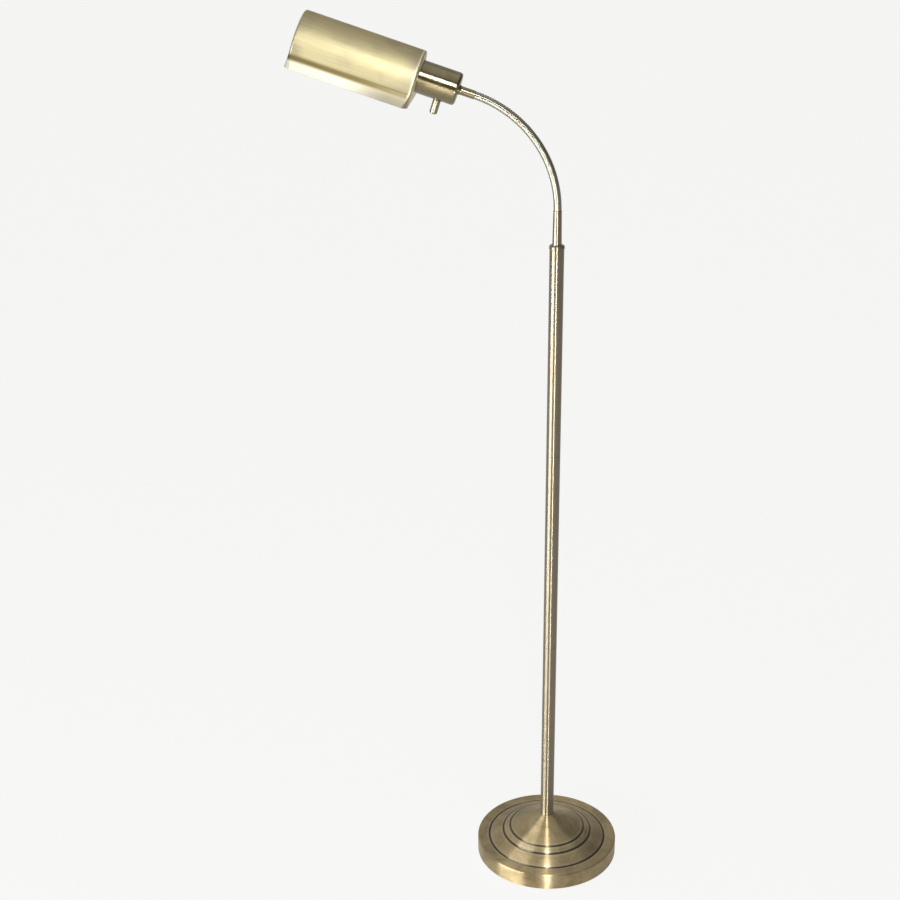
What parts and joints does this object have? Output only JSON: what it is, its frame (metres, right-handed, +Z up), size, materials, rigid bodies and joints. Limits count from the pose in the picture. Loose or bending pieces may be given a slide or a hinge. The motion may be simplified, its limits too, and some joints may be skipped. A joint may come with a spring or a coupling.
{
  "type": "floor reading lamp",
  "caption": "Floor reading lamp with a round weighted base, a sectional pole, a flexible gooseneck and a trough shade on a socket cup with a turn switch.",
  "frame": {"origin": "middle of the base's underside, on the floor, on the pole's axis", "axes": "+Z up along the pole; the gooseneck and the head reach along -X; Y is across the shade"},
  "size_m": [0.4392, 0.2046, 1.2269],
  "materials": {
    "antique_brass": "antique brass plate, brushed and lacquered",
    "shade_brass": "antique brass plate, brushed along the shade and lacquered",
    "hose_brass": "antique brass plate on a steel hose, polished on the ribs",
    "cast_iron": "as cast",
    "felt": "black wool felt",
    "black_rubber": "matte moulded",
    "zinc_steel": "zinc plated",
    "lead_jacket": "translucent gold lamp cord jacket",
    "phenolic": "moulded phenolic",
    "contact_brass": "bare stamped brass",
    "frosted_glass": "frosted",
    "bulb_aluminium": "bright rolled",
    "black_glass": "gloss",
    "solder": "tinned"
  },
  "bodies": {
    "stand": {"base_pad": "felt", "base_weight": "cast_iron", "base_cover": "antique_brass", "cord_grommet": "black_rubber", "base_washer": "zinc_steel", "base_locknut": "zinc_steel", "pole_nipple": "zinc_steel", "pole_lower": "antique_brass", "pole_middle": "antique_brass", "pole_upper": "antique_brass", "pole_bush_lower": "zinc_steel", "pole_bush_middle": "zinc_steel", "pole_bush_upper": "zinc_steel", "pole_stud_lower": "zinc_steel", "pole_stud_middle": "zinc_steel", "pole_cap": "antique_brass", "neck_ferrule_lower": "antique_brass", "supply_lead": "lead_jacket"},
    "hose_01": {"neck_01": "hose_brass"},
    "hose_02": {"neck_02": "hose_brass"},
    "hose_03": {"neck_03": "hose_brass"},
    "hose_04": {"neck_04": "hose_brass"},
    "hose_05": {"neck_05": "hose_brass"},
    "hose_06": {"neck_06": "hose_brass"},
    "hose_07": {"neck_07": "hose_brass"},
    "hose_08": {"neck_08": "hose_brass"},
    "hose_09": {"neck_09": "hose_brass"},
    "hose_10": {"neck_10": "hose_brass"},
    "hose_11": {"neck_11": "hose_brass"},
    "hose_12": {"neck_12": "hose_brass"},
    "hose_13": {"neck_13": "hose_brass"},
    "hose_14": {"neck_14": "hose_brass"},
    "hose_15": {"neck_15": "hose_brass"},
    "hose_16": {"neck_16": "hose_brass"},
    "hose_17": {"neck_17": "hose_brass"},
    "hose_18": {"neck_18": "hose_brass"},
    "hose_19": {"neck_19": "hose_brass"},
    "head": {"neck_ferrule_upper": "antique_brass", "cup_locknut": "zinc_steel", "socket_cup": "antique_brass", "switch_body": "phenolic", "switch_bush": "contact_brass", "socket_body": "phenolic", "screw_shell": "contact_brass", "centre_contact": "contact_brass", "terminal_screws": "contact_brass", "socket_leads": "lead_jacket", "shade_ring": "zinc_steel", "bulb_glass": "frosted_glass", "bulb_base": "bulb_aluminium", "bulb_insulator": "black_glass", "bulb_tip": "solder"},
    "shade_trough": {"shade": "shade_brass"},
    "switch": {"switch_knob": "antique_brass", "switch_shaft": "contact_brass", "switch_cam": "phenolic"}
  },
  "joints": [
    {"name": "neck_bend_01", "type": "hinge", "parent": "stand", "child": "hose_01", "pos_m": [0, 0, 0.9805], "axis": [0, -1, 0], "range_deg": [-7.2, 7.2]},
    {"name": "neck_sway_01", "type": "hinge", "parent": "hose_01", "child": "hose_02", "pos_m": [-0.00033, 0, 0.99055], "axis": [0.9978, 0, 0.0661], "range_deg": [-6, 6]},
    {"name": "neck_bend_02", "type": "hinge", "parent": "hose_02", "child": "hose_03", "pos_m": [-0.00133, 0, 1.00055], "axis": [0, -1, 0], "range_deg": [-7.2, 7.2]},
    {"name": "neck_sway_02", "type": "hinge", "parent": "hose_03", "child": "hose_04", "pos_m": [-0.00298, 0, 1.01046], "axis": [0.9804, 0, 0.1971], "range_deg": [-6, 6]},
    {"name": "neck_bend_03", "type": "hinge", "parent": "hose_04", "child": "hose_05", "pos_m": [-0.00529, 0, 1.02025], "axis": [0, -1, 0], "range_deg": [-7.2, 7.2]},
    {"name": "neck_sway_03", "type": "hinge", "parent": "hose_05", "child": "hose_06", "pos_m": [-0.00824, 0, 1.02985], "axis": [0.9458, 0, 0.3247], "range_deg": [-6, 6]},
    {"name": "neck_bend_04", "type": "hinge", "parent": "hose_06", "child": "hose_07", "pos_m": [-0.01181, 0, 1.03925], "axis": [0, -1, 0], "range_deg": [-7.2, 7.2]},
    {"name": "neck_sway_04", "type": "hinge", "parent": "hose_07", "child": "hose_08", "pos_m": [-0.016, 0, 1.04838], "axis": [0.8947, 0, 0.4466], "range_deg": [-6, 6]},
    {"name": "neck_bend_05", "type": "hinge", "parent": "hose_08", "child": "hose_09", "pos_m": [-0.02079, 0, 1.05722], "axis": [0, -1, 0], "range_deg": [-7.2, 7.2]},
    {"name": "neck_sway_05", "type": "hinge", "parent": "hose_09", "child": "hose_10", "pos_m": [-0.02614, 0, 1.06573], "axis": [0.828, 0, 0.5607], "range_deg": [-6, 6]},
    {"name": "neck_bend_06", "type": "hinge", "parent": "hose_10", "child": "hose_11", "pos_m": [-0.03205, 0, 1.07386], "axis": [0, -1, 0], "range_deg": [-7.2, 7.2]},
    {"name": "neck_sway_06", "type": "hinge", "parent": "hose_11", "child": "hose_12", "pos_m": [-0.03848, 0, 1.08158], "axis": [0.7468, 0, 0.665], "range_deg": [-6, 6]},
    {"name": "neck_bend_07", "type": "hinge", "parent": "hose_12", "child": "hose_13", "pos_m": [-0.04541, 0, 1.08886], "axis": [0, -1, 0], "range_deg": [-7.2, 7.2]},
    {"name": "neck_sway_07", "type": "hinge", "parent": "hose_13", "child": "hose_14", "pos_m": [-0.05281, 0, 1.09567], "axis": [0.6526, 0, 0.7577], "range_deg": [-6, 6]},
    {"name": "neck_bend_08", "type": "hinge", "parent": "hose_14", "child": "hose_15", "pos_m": [-0.06064, 0, 1.10198], "axis": [0, -1, 0], "range_deg": [-7.2, 7.2]},
    {"name": "neck_sway_08", "type": "hinge", "parent": "hose_15", "child": "hose_16", "pos_m": [-0.06886, 0, 1.10775], "axis": [0.5469, 0, 0.8372], "range_deg": [-6, 6]},
    {"name": "neck_bend_09", "type": "hinge", "parent": "hose_16", "child": "hose_17", "pos_m": [-0.07746, 0, 1.11297], "axis": [0, -1, 0], "range_deg": [-7.2, 7.2]},
    {"name": "neck_sway_09", "type": "hinge", "parent": "hose_17", "child": "hose_18", "pos_m": [-0.08637, 0, 1.1176], "axis": [0.4318, 0, 0.902], "range_deg": [-6, 6]},
    {"name": "neck_bend_10", "type": "hinge", "parent": "hose_18", "child": "hose_19", "pos_m": [-0.09558, 0, 1.12164], "axis": [0, -1, 0], "range_deg": [-7.2, 7.2]},
    {"name": "neck_sway_10", "type": "hinge", "parent": "hose_19", "child": "head", "pos_m": [-0.10503, 0, 1.12506], "axis": [0.309, 0, 0.9511], "range_deg": [-6, 6]},
    {"name": "shade_turn", "type": "hinge", "parent": "head", "child": "shade_trough", "pos_m": [-0.17541, 0, 1.14793], "axis": [-0.9511, 0, 0.309], "range_deg": [-90, 90]},
    {"name": "switch_turn", "type": "hinge", "parent": "head", "child": "switch", "pos_m": [-0.14688, 0, 1.13866], "axis": [-0.309, 0, -0.9511], "continuous": true}
  ],
  "couplings": [
    {"joint": "neck_bend_02", "follows": "neck_bend_01", "ratio": 1},
    {"joint": "neck_sway_02", "follows": "neck_sway_01", "ratio": 1},
    {"joint": "neck_bend_03", "follows": "neck_bend_01", "ratio": 1},
    {"joint": "neck_sway_03", "follows": "neck_sway_01", "ratio": 1},
    {"joint": "neck_bend_04", "follows": "neck_bend_01", "ratio": 1},
    {"joint": "neck_sway_04", "follows": "neck_sway_01", "ratio": 1},
    {"joint": "neck_bend_05", "follows": "neck_bend_01", "ratio": 1},
    {"joint": "neck_sway_05", "follows": "neck_sway_01", "ratio": 1},
    {"joint": "neck_bend_06", "follows": "neck_bend_01", "ratio": 1},
    {"joint": "neck_sway_06", "follows": "neck_sway_01", "ratio": 1},
    {"joint": "neck_bend_07", "follows": "neck_bend_01", "ratio": 1},
    {"joint": "neck_sway_07", "follows": "neck_sway_01", "ratio": 1},
    {"joint": "neck_bend_08", "follows": "neck_bend_01", "ratio": 1},
    {"joint": "neck_sway_08", "follows": "neck_sway_01", "ratio": 1},
    {"joint": "neck_bend_09", "follows": "neck_bend_01", "ratio": 1},
    {"joint": "neck_sway_09", "follows": "neck_sway_01", "ratio": 1},
    {"joint": "neck_bend_10", "follows": "neck_bend_01", "ratio": 1},
    {"joint": "neck_sway_10", "follows": "neck_sway_01", "ratio": 1}
  ]
}
